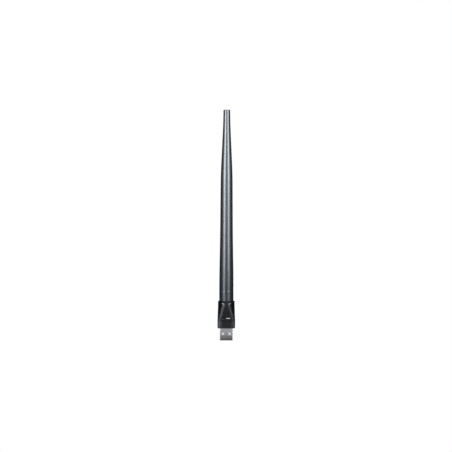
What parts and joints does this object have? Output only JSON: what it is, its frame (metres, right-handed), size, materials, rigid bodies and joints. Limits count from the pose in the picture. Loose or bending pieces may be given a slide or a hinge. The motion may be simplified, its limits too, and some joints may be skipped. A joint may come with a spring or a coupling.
{
  "type": "usb wifi adapter",
  "caption": "Plug-in wireless network adapter: small rounded housing on a USB plug, with a long tapered antenna that folds back on a friction hinge, an indicator window and a side button.",
  "frame": {"origin": "centre of the plug where it leaves the housing's flat shoulder", "axes": "+Z from the plug towards the antenna's tip when it stands straight, -Y the front face with the indicator window, +X to the right as seen from the front, the side with the button"},
  "size_m": [0.0168, 0.0147, 0.2192],
  "materials": {
    "housing_plastic": "fine satin, slightly glossy black",
    "antenna_plastic": "satin black, fine spark-eroded grain",
    "smoked_lens": "smoked, polished",
    "button_plastic": "satin black",
    "plug_steel": "nickel-plated, finely brushed",
    "white_plastic": "satin white",
    "gold_contact": "gold flash over nickel",
    "green_board": "solder mask over glass-fibre",
    "chip_black": "moulded epoxy",
    "can_metal": "stamped lid",
    "ferrite": "fired ferrite",
    "ceramic_tan": "fired ceramic",
    "lamp_white": "cast resin",
    "switch_plastic": "moulded",
    "solder": "reflowed, bright",
    "washer_nylon": "moulded nylon",
    "lead_jacket": "extruded",
    "tube_brass": "drawn, lightly tarnished",
    "wire_copper": "enamelled",
    "foam_ring": "moulded"
  },
  "bodies": {
    "housing": {"front_cover": "housing_plastic", "rear_cover": "housing_plastic", "light_pipe": "smoked_lens", "plug_shell": "plug_steel", "plug_insulator": "white_plastic", "plug_contacts": "gold_contact", "main_board": "green_board", "radio_chip": "chip_black", "clock_crystal": "can_metal", "power_inductor": "ferrite", "voltage_regulator": "chip_black", "amplifier": "chip_black", "band_filter": "ceramic_tan", "capacitors": "ceramic_tan", "resistors": "chip_black", "indicator_lamp": "lamp_white", "push_switch": "switch_plastic", "solder_joints": "solder", "hinge_washers": "washer_nylon", "lead_below_hinge": "lead_jacket"},
    "button": {"button_cap": "button_plastic", "switch_plunger": "switch_plastic"},
    "antenna": {"antenna_base": "antenna_plastic", "antenna_sleeve": "antenna_plastic", "lead_above_hinge": "lead_jacket", "dipole_tube": "tube_brass", "feed_bush": "white_plastic", "radiator_lower": "wire_copper", "phasing_coil": "wire_copper", "radiator_upper": "wire_copper", "centring_rings": "foam_ring"}
  },
  "joints": [
    {"name": "antenna_tilt", "type": "hinge", "parent": "housing", "child": "antenna", "pos_m": [0, 0, 0.0173], "axis": [-1, 0, 0], "range_deg": [0, 90]},
    {"name": "button_press", "type": "slide", "parent": "housing", "child": "button", "axis": [-1, 0, 0], "range_m": [0, 0.00025], "stiffness_N_per_m": 6400}
  ]
}
